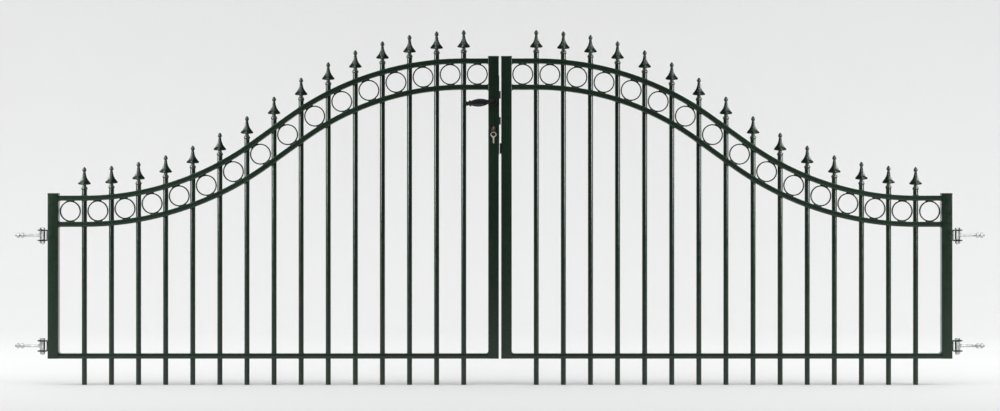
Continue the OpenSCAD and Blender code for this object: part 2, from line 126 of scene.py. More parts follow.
def swept(outline, path, planeNormal, ring=False):
    # An outline of (a, b) carried square to a flat path: path + a * normal + b * (direction cross normal)
    ahead = (np.roll(path, -1, 0) - np.roll(path, 1, 0)) if ring else np.gradient(path, axis=0)
    ahead = ahead / np.linalg.norm(ahead, axis=1, keepdims=True)
    normal = np.asarray(planeNormal, float)
    across = np.cross(ahead, normal)
    outline = np.broadcast_to(outline, (len(path),) + np.shape(outline)[-2:])
    return solid(path[:, None] + outline[..., :1] * normal + outline[..., 1:] * across[:, None], ring)


def prism(outline, low, high, chamfer, centre=(0, 0, 0), axis="z"):
    # A counter-clockwise outline raised from low to high, and drawn in by the chamfer at both ends
    outline, sharpest = np.asarray(outline, float), 0.3
    side = np.roll(outline, -1, 0) - outline
    side = side / np.linalg.norm(side, axis=1, keepdims=True)
    inward = np.stack([-side[:, 1], side[:, 0]], -1)
    corner = inward + np.roll(inward, 1, 0)
    corner = corner / np.maximum((corner * inward).sum(1, keepdims=True), sharpest)
    levels = ((low, chamfer), (low + chamfer, 0), (high - chamfer, 0), (high, chamfer))
    grid = [np.column_stack([outline + inset * corner, np.full(len(outline), z)]) for z, inset in levels]
    return solid(laidAlong(np.stack(grid), axis) + np.asarray(centre, float))


def welded(points, faces):  # points in one place become one, and a quad that loses a side a triangle
    _, first, number = np.unique(np.round(points, 7), axis=0, return_index=True, return_inverse=True)
    number, result = number.ravel(), []
    for face in faces:
        face = number[face]
        if face.shape[1] == 4:
            flat = face == np.roll(face, -1, 1)
            one = flat.sum(1) == 1
            result.append(face[~flat.any(1)])
            left = (flat[one].argmax(1)[:, None] + np.arange(1, 4)) % 4
            result.append(np.take_along_axis(face[one], left, 1))
        else:
            result.append(face)
    return points[first], result


def outward(points, faces):  # turns the faces round if they hold a negative volume
    held = sum((points[face[:, :1]] * np.cross(points[face[:, 1:-1]], points[face[:, 2:]])).sum()
               for face in faces)
    return faces if held > 0 else [face[:, ::-1] for face in faces]


def inGate(points, side):
    # From a leaf's millimetres to the gate's metres; the right leaf is the left one mirrored
    x = gate["pinFromPost"] + points[:, 0]
    x = gate["openingWidth"] - x if side == "right" else x
    return np.stack([x, points[:, 1], points[:, 2] + gate["undersideZ"]], -1) / 1000


def makePiece(name, shells, material, body, nodes=(), side="left", sharpAngle=38):
    places, corners, sizes, start = [], [], [], 0
    for points, faces in shells:
        points, faces = welded(inGate(points, side), faces)
        for face in outward(points, faces):
            corners.append((face + start).ravel())
            sizes.append(np.full(len(face), face.shape[1]))
        places.append(points)
        start += len(points)
    places, corners, sizes = np.concatenate(places), np.concatenate(corners), np.concatenate(sizes)
    mesh = bpy.data.meshes.new(name)
    mesh.vertices.add(len(places))
    mesh.vertices.foreach_set("co", places.astype(np.float32).ravel())
    mesh.loops.add(len(corners))
    mesh.loops.foreach_set("vertex_index", corners.astype(np.int32))
    mesh.polygons.add(len(sizes))
    mesh.polygons.foreach_set("loop_start", (np.cumsum(sizes) - sizes).astype(np.int32))
    mesh.update(calc_edges=True)
    mesh.polygons.foreach_set("use_smooth", np.ones(len(sizes), bool))
    mesh.set_sharp_from_angle(angle=np.radians(sharpAngle))
    mesh.materials.append(material)
    piece = bpy.data.objects.new(name, mesh)
    bpy.context.scene.collection.objects.link(piece)
    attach(piece, body)
    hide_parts(*nodes)
    return piece


# Finishes

rangeSockets = ("From Min", "From Max", "To Min", "To Max")
noiseSpan = (0.35, 0.65)  # where most of a noise lies


def startMaterial(name, base, metallic, roughness, **sockets):
    material = bpy.data.materials.new(name)
    material.use_nodes = True
    shader = material.node_tree.nodes["Principled BSDF"]
    values = {"Base Color": (*base, 1), "Metallic": metallic, "Roughness": roughness, **sockets}
    for socket, value in values.items():
        shader.inputs[socket].default_value = value
    return material, shader


def addNoise(material, scale, detail, roughness, stretch=(1, 1, 1)):  # noise on the piece's own metres
    nodes, links = material.node_tree.nodes, material.node_tree.links
    place, mapping, noise = (nodes.new("ShaderNode" + kind) for kind in ("TexCoord", "Mapping", "TexNoise"))
    mapping.inputs["Scale"].default_value = stretch
    noise.inputs["Scale"].default_value = scale
    noise.inputs["Detail"].default_value = detail
    noise.inputs["Roughness"].default_value = roughness
    links.new(place.outputs["Object"], mapping.inputs["Vector"])
    links.new(mapping.outputs["Vector"], noise.inputs["Vector"])
    return noise.outputs["Fac"]


def addRamp(material, factor, stops):  # colours along the factor, from (place, colour) pairs
    ramp = material.node_tree.nodes.new("ShaderNodeValToRGB")
    elements = ramp.color_ramp.elements
    for number, (place, colour) in enumerate(stops):
        element = elements[number] if number < 2 else elements.new(place)
        element.position, element.color = place, (*colour, 1)
    material.node_tree.links.new(factor, ramp.inputs["Fac"])
    return ramp.outputs["Color"]


def addRange(material, factor, low, high):  # spreads a noise between two values
    spread = material.node_tree.nodes.new("ShaderNodeMapRange")
    for socket, value in zip(rangeSockets, (*noiseSpan, low, high)):
        spread.inputs[socket].default_value = value
    material.node_tree.links.new(factor, spread.inputs["Value"])
    return spread.outputs["Result"]


def addBump(material, shader, heights):  # (height, distance, strength) of each bump, one on the other
    nodes, links = material.node_tree.nodes, material.node_tree.links
    normal = None
    for height, distance, strength in heights:
        bump = nodes.new("ShaderNodeBump")
        bump.inputs["Distance"].default_value = distance
        bump.inputs["Strength"].default_value = strength
        links.new(height, bump.inputs["Height"])
        if normal is not None:
            links.new(normal, bump.inputs["Normal"])
        normal = bump.outputs["Normal"]
    links.new(normal, shader.inputs["Normal"])


paintLook = {"dark": (0.0050, 0.0125, 0.0075), "middle": (0.0060, 0.0150, 0.0085),
             "light": (0.0072, 0.0180, 0.0095), "patchScale": 5, "peelScale": 420, "dustScale": 60,
             "clean": 0.15, "dusty": 0.24, "peelBump": 0.12, "patchBump": 0.08,
             "roughness": 0.3, "shine": 0.5}  # the dust noise takes the place of this roughness


def makePaint():  # satin green powder coat: cloudy colour, faint orange peel, a little dust in the sheen
    look = paintLook
    material, shader = startMaterial("greenPowderCoat", look["middle"], 0.0, look["roughness"],
                                     **{"Specular IOR Level": look["shine"]})
    links = material.node_tree.links
    patches = addNoise(material, look["patchScale"], 4, 0.6)
    colour = addRamp(material, patches, [(0.34, look["dark"]), (0.66, look["light"]), (0.5, look["middle"])])
    links.new(colour, shader.inputs["Base Color"])
    dust = addNoise(material, look["dustScale"], 5, 0.6)
    links.new(addRange(material, dust, look["clean"], look["dusty"]), shader.inputs["Roughness"])
    peel = addNoise(material, look["peelScale"], 2, 0.45)
    addBump(material, shader, [(peel, 0.0001, look["peelBump"]), (patches, 0.0006, look["patchBump"])])
    return material


metalLooks = {
    "brightZinc": {"dark": (0.50, 0.51, 0.51), "light": (0.76, 0.77, 0.76), "roughness": (0.20, 0.36),
                   "grain": 420, "bump": 0.25},
    "lockSteel": {"dark": (0.10, 0.115, 0.105), "light": (0.19, 0.21, 0.19), "roughness": (0.34, 0.5),
                  "grain": 500, "stretch": (1, 1, 0.08)},
    # The lock cylinder's nickel: the keys' nickel painted darker, as painted shade for the cylinder in shadow
    "darkNickel": {"dark": (0.10, 0.085, 0.06), "light": (0.24, 0.205, 0.155), "roughness": (0.2, 0.34),
                   "grain": 600, "stretch": (1, 0.1, 1)},
    "brushedNickel": {"dark": (0.155, 0.138, 0.11), "light": (0.25, 0.23, 0.195), "roughness": (0.16, 0.30),
                      "grain": 600, "stretch": (1, 0.1, 1)},
    "capPlastic": {"dark": (0.010, 0.017, 0.012), "light": (0.020, 0.030, 0.022), "roughness": (0.42, 0.55),
                   "grain": 900, "metallic": 0.0}}


def makeGrained(name):  # metal or plastic: broad clouds of colour under a fine grain in the sheen
    look = metalLooks[name]
    material, shader = startMaterial(name, look["light"], look.get("metallic", 1.0), look["roughness"][0])
    links = material.node_tree.links
    clouds = addNoise(material, look["grain"] * 0.2, 4, 0.6)
    grain = addNoise(material, look["grain"], 4, 0.65, look.get("stretch", (1, 1, 1)))
    links.new(addRamp(material, clouds, list(zip(noiseSpan, (look["dark"], look["light"])))),
              shader.inputs["Base Color"])
    links.new(addRange(material, grain, *look["roughness"]), shader.inputs["Roughness"])
    addBump(material, shader, [(grain, 0.0001, look.get("bump", 0.2))])
    return material


hammeredLook = {"fresh": (0.0045, 0.0045, 0.0055), "worn": (0.010, 0.010, 0.0115), "shine": 0.22,
                "markScale": 210, "skinScale": 700, "wearScale": 45, "roughness": (0.24, 0.4),
                "plain": (0.006, 0.006, 0.007), "plainRoughness": 0.32}  # the noises take their place


def makeHammered():  # black paint over forged iron: broad hammer marks under a fine skin
    look = hammeredLook
    material, shader = startMaterial("hammeredBlack", look["plain"], 0.0, look["plainRoughness"],
                                     **{"Specular IOR Level": look["shine"]})
    nodes, links = material.node_tree.nodes, material.node_tree.links
    place, marks = nodes.new("ShaderNodeTexCoord"), nodes.new("ShaderNodeTexVoronoi")
    marks.feature = "SMOOTH_F1"
    marks.inputs["Scale"].default_value = look["markScale"]
    links.new(place.outputs["Object"], marks.inputs["Vector"])
    skin = addNoise(material, look["skinScale"], 2, 0.5)
    wear = addNoise(material, look["wearScale"], 5, 0.6)
    colour = addRamp(material, wear, [(0.4, look["fresh"]), (0.7, look["worn"])])
    links.new(colour, shader.inputs["Base Color"])
    links.new(addRange(material, wear, *look["roughness"]), shader.inputs["Roughness"])
    addBump(material, shader, [(marks.outputs["Distance"], 0.0006, 0.22), (skin, 0.0001, 0.15)])
    return material


paint = makePaint()
zinc, lockSteel, darkNickel, nickel, capPlastic = (makeGrained(name) for name in metalLooks)
blackIron = makeHammered()
print("finishes made")


# The leaf's frame

stileSizes = {"width": 35, "wall": 2, "corner": 1.8, "innerCorner": 0.6, "hingeX": 20, "hingeHeight": 545,
              "lockHeight": 1000, "levels": (0, 0.35, 0.7, 1), "belowHoles": (0, 300, 600),
              "strikeHalf": (7.4, 5.4), "boltHalf": (6.4, 4.4)}  # half widths of the latch's and bolt's holes
boltHoles = {"latch": (862.6, 888.4), "dead": (776.6, 802.4)}


def stileTube(x, height, holeHalf=None):
    # Square tube: a rounded square outside and one inside, carried up, with the holes' cells left out
    sizes = stileSizes
    bore = sizes["width"] - 2 * sizes["wall"]
    outer = roundedRect(sizes["width"], sizes["width"], sizes["corner"], 5)
    inner = roundedRect(bore, bore, sizes["innerCorner"], 5)
    levels, keep = np.array(sizes["levels"]) * height, None
    if holeHalf:
        wide, narrow = holeHalf
        sideY = np.array([-wide, -narrow, narrow, wide])
        outer = np.vstack([outer, np.column_stack([np.full(4, outer[:, 0].max()), sideY])])
        inner = np.vstack([inner, np.column_stack([np.full(4, inner[:, 0].max()), sideY])])
        levels = np.array([*sizes["belowHoles"], *boltHoles["dead"], *boltHoles["latch"], height])
        keep = np.ones((len(levels) - 1, len(outer)), bool)
        deadRow, first = len(sizes["belowHoles"]), len(outer) - 4
        keep[deadRow, first + 1] = False
        keep[deadRow + 2, first:first + 3] = False
    middle = x + sizes["width"] / 2
    walls = [np.stack([np.column_stack([line + (middle, 0), np.full(len(line), z)]) for z in levels])
             for line in (outer, inner)]
    return plate(*walls, keep, loop=True)


capSizes = {"width": 36.6, "corner": 3.2,  # each row is how far in the edge lies, and its height
            "rows": ((0.35, 0), (0, 0.35), (0, 2.3), (0.25, 3.0), (0.9, 3.6), (1.9, 3.93), (3.0, 4.0))}


def stileCap(x, z):  # rounded squares stacked up: a short skirt, a rounded shoulder and a flat top
    sizes, outlines = capSizes, []
    for inset, level in sizes["rows"]:
        line = roundedRect(sizes["width"] - 2 * inset, sizes["width"] - 2 * inset, sizes["corner"], 6)
        outlines.append(np.column_stack([line, np.full(len(line), level)]))
    return solid(np.stack(outlines) + (x + stileSizes["width"] / 2, 0, z))


railSizes = {"height": 17, "depth": 30, "corner": 2.2, "straight": 150, "lowerShare": 0.49, "under": 4,
             "band": 87, "arcSteps": 46}
barSizes = {"radius": 8.5, "first": 139.5, "pitch": 90, "count": 15, "foot": 87, "over": 18, "wall": 1.6,
            "hollow": 45, "edge": 0.35, "boreEdge": 0.3, "middle": 200}
barX = barSizes["first"] + barSizes["pitch"] * np.arange(barSizes["count"])
lowZ = stileSizes["hingeHeight"] - railSizes["under"] - railSizes["height"] / 2
highZ = stileSizes["lockHeight"] - railSizes["under"] - railSizes["height"] / 2
rise, run = highZ - lowZ, barX[-1] - barX[0]
arcsRadius = (run**2 + rise**2 - railSizes["straight"]**2) / (2 * rise)  # of both arcs together
slope = np.arctan2(run, arcsRadius - rise) - np.arctan2(railSizes["straight"], arcsRadius)
lowerRadius = arcsRadius * railSizes["lowerShare"]
upperRadius = arcsRadius - lowerRadius


def curveAt(x, drop):
    # Height and slope, at x, of the line that runs drop below the top rail's middle line:
    # level, a circle's lower part, a straight, a circle's upper part, level
    x = np.asarray(x, float)
    low, up = lowerRadius + drop, upperRadius - drop
    lowSin, upSin = (x - barX[0]) / low, (barX[-1] - x) / up
    lowEnd = barX[0] + low * np.sin(slope)
    rising = lowZ + lowerRadius - low * np.sqrt(np.clip(1 - lowSin**2, 0, 1))
    slanted = lowZ + lowerRadius - low * np.cos(slope) + (x - lowEnd) * np.tan(slope)
    over = highZ - upperRadius + up * np.sqrt(np.clip(1 - upSin**2, 0, 1))
    zones = [x <= barX[0], lowSin <= np.sin(slope), upSin >= np.sin(slope), x <= barX[-1]]
    height = np.select(zones, [np.full_like(x, lowZ - drop), rising, slanted, over], highZ - drop)
    lean = np.select(zones, [np.zeros_like(x), np.arcsin(np.clip(lowSin, 0, 1)), np.full_like(x, slope),
                             np.arcsin(np.clip(upSin, 0, 1))], 0.0)
    return height, lean


def curvedRail(drop):
    # Swan neck: an arc up, a straight that touches it and an arc over, with a level stretch at each end
    low, up = lowerRadius + drop, upperRadius - drop
    turn = np.linspace(0, slope, railSizes["arcSteps"])
    back = turn[::-1]
    lean = np.concatenate([[0], turn, back, [0]])[:, None]
    x = np.concatenate([[gate["innerX"]], barX[0] + low * np.sin(turn), barX[-1] - up * np.sin(back),
                        [gate["lockStileX"]]])[:, None]
    z = np.concatenate([[lowZ - drop], lowZ + lowerRadius - low * np.cos(turn),
                        highZ - upperRadius + up * np.cos(back), [highZ - drop]])[:, None]
    aside, above = roundedRect(railSizes["depth"], railSizes["height"], railSizes["corner"]).T
    return solid(gridOf(x - above * np.sin(lean), aside, z + above * np.cos(lean)))


def levelRail():  # the same rounded outline carried straight from stile to stile
    aside, above = roundedRect(railSizes["depth"], railSizes["height"], railSizes["corner"]).T
    x = np.linspace(gate["innerX"], gate["lockStileX"], 9)[:, None]
    return solid(gridOf(x, aside, above + railSizes["height"] / 2))


def bar(x):  # round tube, hollow at its foot: its outline turned about the bar's own axis
    sizes, top = barSizes, curveAt(x, -railSizes["height"] / 2)[0] + barSizes["over"]
    radius, edge = sizes["radius"], sizes["edge"]
    bore, foot = radius - sizes["wall"], -sizes["foot"]
    outline = [(0, foot + sizes["hollow"]), (bore, foot + sizes["hollow"]), (bore, foot + sizes["boreEdge"]),
               (bore + sizes["boreEdge"], foot), (radius - edge, foot), (radius, foot + edge),
               (radius, sizes["middle"]), (radius, top), (0, top)]
    return turned(outline, (x, 0, 0), steps=40)


weldLook = {"barBead": 1.25, "topBead": 2.0, "beadReach": 0.15, "beadSteps": 26, "beadSides": 5,
            "ripple": 0.14, "cornerBead": 6, "bottomCorner": 8, "topCorner": 3, "cornerHalf": 14.2,
            "cornerSunk": 0.08, "seed": 4}
chance = np.random.default_rng(weldLook["seed"])


def barBead(x, z, lean, size):
    # A rope of weld round the bar: a circle tilted with the rail's face, whose thickness is a sum of sines
    look = weldLook
    angle = turnAngles(look["beadSteps"])
    reach = barSizes["radius"] + look["beadReach"]
    path = np.stack([x + reach * np.cos(angle), reach * np.sin(angle),
                     z + reach * np.cos(angle) * np.tan(lean)], -1)
    phase = chance.uniform(0, 2 * np.pi, 3)
    ripple = np.sin(5 * angle + phase[0]) + np.sin(9 * angle + phase[1]) + 0.6 * np.sin(13 * angle + phase[2])
    thick = (size * (1 + look["ripple"] * ripple))[:, None, None]
    aside = np.stack([np.cos(angle), np.sin(angle), np.zeros_like(angle)], -1)[:, None]
    around = circlePoints(1, look["beadSides"], 0.3)
    return solid(path[:, None] + thick * (around[:, :1] * aside + around[:, 1:] * upward), ring=True)


def barBeads():  # a bead above and below each rail at each bar
    beads, half = [], railSizes["height"] / 2
    for drop in (-half, half, railSizes["band"] - half, railSizes["band"] + half):
        height, lean = curveAt(barX, drop)
        size = weldLook["topBead" if drop < 0 else "barBead"]
        beads += [barBead(x, z, a, size) for x, z, a in zip(barX, height, lean)]
    beads += [barBead(x, z, 0.0, weldLook["barBead"]) for x in barX for z in (0.0, railSizes["height"])]
    return beads


def cornerFillet(x, z, wayX, wayZ, radius):
    # Weld in an inner corner: a hollow quarter circle between two legs, carried through the rail's depth
    half, sunk = weldLook["cornerHalf"], weldLook["cornerSunk"]
    y = np.linspace(-half, half, 22)[:, None]
    phase = chance.uniform(0, 2 * np.pi, 2)
    size = radius * (1 + 0.05 * np.sin(0.9 * y + phase[0]) + 0.04 * np.sin(1.7 * y + phase[1]))
    size = size * np.clip(1.25 - np.abs(y) / half * 0.35, 0, 1)
    angle = np.linspace(0, np.pi / 2, 8)[1:-1]
    legX = np.concatenate([[-sunk], [1], 1 - np.sin(angle), [0], [-sunk]])
    legZ = np.concatenate([[-sunk], [0], 1 - np.cos(angle), [1], [1]])
    return solid(gridOf(x + wayX * size * legX, y, z + wayZ * size * legZ))


def cornerFillets():  # in every corner between a stile and a rail
    look, half, band = weldLook, railSizes["height"] / 2, railSizes["band"]
    left, right = gate["innerX"], gate["lockStileX"]
    fillets = [cornerFillet(x, railSizes["height"], way, 1, look["bottomCorner"])
               for x, way in ((left, 1), (right, -1))]
    for x, way, middle in ((left, 1, lowZ), (right, -1, highZ)):
        fillets += [cornerFillet(x, middle + half, way, 1, look["topCorner"]),
                    cornerFillet(x, middle - half, way, -1, look["cornerBead"]),
                    cornerFillet(x, middle - band + half, way, 1, look["cornerBead"]),
                    cornerFillet(x, middle - band - half, way, -1, look["cornerBead"])]
    return fillets


ringSizes = {"first": 93.0, "outer": 34.8, "wall": 4, "depth": 12, "corner": 0.9, "steps": 72,
             "padHalf": 13.5, "padDepth": 5.4, "padSunk": 0.5}
ringX = np.concatenate([[ringSizes["first"]], barX + barSizes["pitch"] / 2])


def ring(x):  # a flat strip's rounded outline carried round a circle, square to it
    sizes, centre = ringSizes, curveAt(x, railSizes["band"] / 2)[0]
    aside, out = roundedRect(sizes["depth"], sizes["wall"], sizes["corner"], 3).T
    way = circlePoints(1, sizes["steps"])
    reach = sizes["outer"] - sizes["wall"] / 2 + out
    grid = gridOf(x + way[:, :1] * reach, aside, centre + way[:, 1:] * reach)
    return solid(grid, ring=True)


def ringPads(x):
    # Weld in the wedges beside each touching point: from the ring's circle, the root of
    # radius squared less distance squared, to the rail's level face; both are turned by the rail's slope
    sizes = ringSizes
    centre, lean = curveAt(x, railSizes["band"] / 2)
    along, across = np.meshgrid(np.linspace(-1, 1, 11) * sizes["padHalf"],
                                np.linspace(-1, 1, 5) * sizes["padDepth"], indexing="ij")
    across = across * np.sqrt(np.clip(1 - (along / sizes["padHalf"])**4 * 0.7, 0, 1))
    touch = np.sqrt(sizes["outer"]**2 - along**2)
    pads = []
    for way in (1, -1):
        sheets = []
        for reach in (np.full_like(along, sizes["outer"] + sizes["padSunk"]), touch - sizes["padSunk"]):
            reach = reach * way
            sheets.append(np.stack([x + along * np.cos(lean) - reach * np.sin(lean), across,
                                    centre + along * np.sin(lean) + reach * np.cos(lean)], -1))
        pads.append(plate(*sheets))
    return pads


finialLook = {"steps": 56, "between": 2, "power": 5, "soft": 0.25,
              "flutes": 8, "fluteDepth": 0.035, "fluteZ": 5, "fluteTall": 4}
# Height, radius of the core, reach of the four wings and half their thickness
finialRows = [
    (0, 8.5, 0, 3), (0.8, 8.9, 0, 3), (2.6, 9.8, 0, 3), (4.8, 10.3, 0, 3), (7.2, 10.0, 0, 3),
    (9.6, 8.7, 0, 3), (12.4, 6.9, 0, 3), (15.4, 6.2, 0, 3), (17.2, 6.4, 4, 3), (17.8, 7.2, 9, 3),
    (18.2, 7.8, 14, 3), (19.0, 8.1, 18.2, 3.0), (20.4, 8.4, 20.6, 3.1), (22.2, 8.5, 21.2, 3.2),
    (24.2, 8.3, 20.2, 3.2), (28.7, 7.6, 16.6, 3.2), (35.0, 6.4, 11.8, 3.0), (41.4, 5.3, 8.4, 2.7),
    (47.7, 4.5, 6.3, 2.4), (54.0, 4.0, 5.0, 2.2), (58.6, 3.9, 4.2, 2.0), (60.6, 4.1, 0, 2.0),
    (62.2, 5.4, 0, 2.0), (64.2, 6.5, 0, 2.0), (66.4, 6.8, 0, 2.0), (69.0, 6.4, 0, 2.0), (71.8, 5.2, 0, 2.0),
    (74.4, 3.5, 0, 2.0), (76.2, 1.9, 0, 2.0), (77.0, 0, 0, 2.0)]


def finial(x):
    # Cast spearhead: round a round core, each wing's edge is the nearer of its reach and its side face,
    # which lies at half its thickness over the sine of the angle from the wing's middle
    look, power = finialLook, finialLook["power"]
    rows = smoothLine(finialRows, look["between"])
    height, core, reach, half = (column[:, None] for column in rows.T)
    core, reach = np.maximum(core, 0), np.maximum(reach, 0)
    angle = turnAngles(look["steps"])
    aside = np.abs(np.sin((angle + np.pi / 4) % (np.pi / 2) - np.pi / 4))
    wing = ((np.maximum(reach, 0.01))**-power + (aside / half)**power)**(-1 / power)
    over = wing - core
    raised = np.where(reach > 0.5, 0.5 * (over + np.sqrt(over**2 + look["soft"])), 0)
    radius = core + raised * np.clip(reach / 4, 0, 1)
    collar = np.exp(-((height - look["fluteZ"]) / look["fluteTall"])**2)
    radius = radius * (1 + look["fluteDepth"] * np.cos(look["flutes"] * angle) * collar)
    radius[-1] = 0
    top = curveAt(x, -railSizes["height"] / 2)[0] + barSizes["over"]
    grid = gridOf(x + radius * np.cos(angle), radius * np.sin(angle), top + height)
    return solid(grid)


def leafPiece(side, name, shells, material, slot, *nodes, body=None):  # both leaves name pieces alike
    nodes = [f"{side}_{node}" for node in nodes]
    return makePiece(f"{side}_{name}", shells, material, body or side + "_leaf", nodes, side)


def paintPiece(side, name, shells, *nodes):
    return leafPiece(side, name, shells, paint, "green_paint", *nodes)


hingeStile = (stileSizes["hingeX"], stileSizes["hingeHeight"])
innerStile = (gate["lockStileX"], stileSizes["lockHeight"])
for side, stile, holes in (("left", "lock_stile", "boltHalf"), ("right", "meeting_stile", "strikeHalf")):
    paintPiece(side, "hinge_stile_tube", [stileTube(*hingeStile)], "hinge_stile")
    paintPiece(side, stile + "_tube", [stileTube(*innerStile, stileSizes[holes])], stile)
    paintPiece(side, "bottom_rail_tube", [levelRail()], "bottom_rail")
    paintPiece(side, "ring_rail_tube", [curvedRail(railSizes["band"])], "ring_rail")
    paintPiece(side, "top_rail_tube", [curvedRail(0)], "top_rail")
    paintPiece(side, "round_bars", [bar(x) for x in barX], "bars")
    paintPiece(side, "spearheads", [finial(x) for x in barX], "finials")
    paintPiece(side, "strip_rings", [ring(x) for x in ringX], "rings")
    paintPiece(side, "ring_welds", [pad for x in ringX for pad in ringPads(x)])
    paintPiece(side, "bar_welds", barBeads())
    paintPiece(side, "corner_welds", cornerFillets())
    caps = [stileCap(*hingeStile), stileCap(*innerStile)]
    leafPiece(side, "plastic_caps", caps, capPlastic, "cap_plastic", "stile_caps")
    print(side, "leaf built")


# Hinges

hingeSizes = {"heights": (42, 409), "gap": 30, "thick": 4, "depth": 26, "past": 15, "bend": 4, "endRound": 6,
              "fromEnd": (0, 0.4, 1.1, 2.2, 3.8, 6, 12, 22)}
strapWeld = {"half": 14, "x": 19.4, "y": 12.6, "radius": 1.5, "waves": (0.25, 0.15)}
boltSizes = {"radius": 5, "across": 17, "head": 6.4, "nut": 8, "end": 3, "pitch": 1.5, "threadDepth": 0.55,
             "endDrop": 1.1}
hexSizes = {"down": (0, 0.12, 0.25, 0.4, 0.55, 0.75, 1.0), "flatShare": 0.475, "widening": 1.73, "steps": 48}
eyeSizes = {"sleeve": 9.3, "bore": 5.3, "tall": 29.4, "edge": 0.7, "boreEdge": 0.5, "rodLess": 0.25,
            "rodFrom": -6.5, "end": -90, "threadTo": -48, "nuts": (-70, -84),
            "seam": 5.3, "seamSize": 1.3, "seamOut": 0.2}


def bracket(z):
    # Flat bar bent to a U: its middle line is two level flanges and an upright web, joined by quarter
    # circles, and the flanges' ends are rounded by the circle's root on each side
    sizes, bend = hingeSizes, hingeSizes["bend"]
    reach, out = sizes["gap"] / 2 + sizes["thick"] / 2, stileSizes["hingeX"] - sizes["thick"] / 2
    start = np.array(sizes["fromEnd"])
    angle = np.linspace(0, np.pi / 2, 7)
    x = np.concatenate([-sizes["past"] + start, out - bend + bend * np.sin(angle)])
    up = np.concatenate([np.full(len(start), reach), reach - bend + bend * np.cos(angle)])
    normalX = np.concatenate([np.zeros(len(start)), np.sin(angle)])
    normalZ = np.concatenate([np.ones(len(start)), np.cos(angle)])
    x, normalX = np.concatenate([x, x[::-1]]), np.concatenate([normalX, normalX[::-1]])
    up, normalZ = np.concatenate([up, -up[::-1]]), np.concatenate([normalZ, -normalZ[::-1]])
    fromEnd, endRound = np.minimum(x + sizes["past"], sizes["endRound"]), sizes["endRound"]
    half = sizes["depth"] / 2 - endRound + np.sqrt(endRound**2 - (endRound - fromEnd)**2)
    y = half[:, None] * np.linspace(-1, 1, 7)
    sheets = []
    for way in (sizes["thick"] / 2, -sizes["thick"] / 2):
        sheets.append(gridOf((x + way * normalX)[:, None], y,
                             (z + up + way * normalZ)[:, None]))
    return plate(*sheets)


def bracketWelds(z):  # two upright beads where the web's edges meet the stile, their radius a sum of sines
    sizes, beads = strapWeld, []
    z = z + np.linspace(-sizes["half"], sizes["half"], 24)
    broad, fine = sizes["waves"]
    for y in (-sizes["y"], sizes["y"]):
        wave = sizes["radius"] + broad * np.sin(z * 1.3 + chance.uniform(0, 6)) + fine * np.sin(z * 2.9)
        path = np.column_stack([np.full(len(z), sizes["x"]), np.full(len(z), y), z])
        beads.append(swept(circlePoints(1, 8) * wave[:, None, None], path, (0, 1, 0)))
    return beads


def hexagon(across, low, high, centre, axis, chamfers=(True, True)):
    # Distance to a hexagon's side at each angle, cut down near the ends by a 30 degree cone
    angle = turnAngles(hexSizes["steps"])
    flat = across / 2 / np.cos((angle + np.pi / 6) % (np.pi / 3) - np.pi / 6)
    down = np.array(hexSizes["down"])
    height = np.concatenate([low + down, high - down[::-1]])
    room = np.full(len(height), across)
    near = across * hexSizes["flatShare"] + down * hexSizes["widening"]
    if chamfers[0]:
        room[:len(down)] = near
    if chamfers[1]:
        room[len(down):] = near[::-1]
    radius = np.minimum(flat, room[:, None])
    grid = gridOf(radius * np.cos(angle), radius * np.sin(angle), height[:, None])
    return solid(laidAlong(grid, axis) + np.asarray(centre, float))


def thread(low, high, centre, axis):
    # The radius falls and rises once a pitch along the axis, and that wave turns once round per pitch
    sizes = boltSizes
    height = np.linspace(low, high, max(int((high - low) / sizes["pitch"] * 6), 8) + 1)[:, None]
    angle = turnAngles(24)
    wave = (height / sizes["pitch"] - angle / (2 * np.pi)) % 1
    radius = sizes["radius"] - sizes["threadDepth"] * np.abs(2 * wave - 1)
    toEnd = np.minimum(height - low, high - height)
    radius = np.minimum(radius, sizes["radius"] - sizes["endDrop"] + toEnd)
    grid = gridOf(radius * np.cos(angle), radius * np.sin(angle), height)
    return solid(laidAlong(grid, axis) + np.asarray(centre, float))


def hingeBolt(z):  # hexagon head above the bracket, plain shank, nut and thread's end below it
    sizes, face, centre = boltSizes, hingeSizes["gap"] / 2 + hingeSizes["thick"], (0, 0, z)
    end, radius = -face - sizes["nut"] - sizes["end"], sizes["radius"]
    return [hexagon(sizes["across"], face, face + sizes["head"], centre, "z", (False, True)),
            turned([(0, face + 1), (radius, face + 1), (radius, -face), (0, -face)], centre),
            hexagon(sizes["across"], -face - sizes["nut"], -face, centre, "z"),
            thread(end, -face - 1, centre, "z")]


def eyeBolt(z):
    # Turned sleeve round the hinge bolt, plain rod, thread to the free end, and a bead round the rod's foot:
    # a small circle laid on the sleeve's cylinder
    sizes, half, centre = eyeSizes, eyeSizes["tall"] / 2, (0, 0, z)
    sleeve, edge, bore, boreEdge = (sizes[key] for key in ("sleeve", "edge", "bore", "boreEdge"))
    wall = [(bore + boreEdge, -half), (sleeve - edge, -half), (sleeve, edge - half), (sleeve, half - edge),
            (sleeve - edge, half), (bore + boreEdge, half), (bore, half - boreEdge), (bore, boreEdge - half)]
    rod, rodFrom, threadTo = boltSizes["radius"] - sizes["rodLess"], sizes["rodFrom"], sizes["threadTo"]
    seamY, seamZ = circlePoints(sizes["seam"], 28).T
    seam = np.stack([-np.sqrt(sleeve**2 - seamY**2) - sizes["seamOut"], seamY, z + seamZ], -1)
    return [turned(wall, centre, steps=48, ring=True),
            turned([(0, threadTo), (rod, threadTo), (rod, rodFrom), (0, rodFrom)], centre, "x"),
            swept(circlePoints(sizes["seamSize"], 7), seam, (1, 0, 0), ring=True),
            thread(sizes["end"], threadTo + 1, centre, "x")]


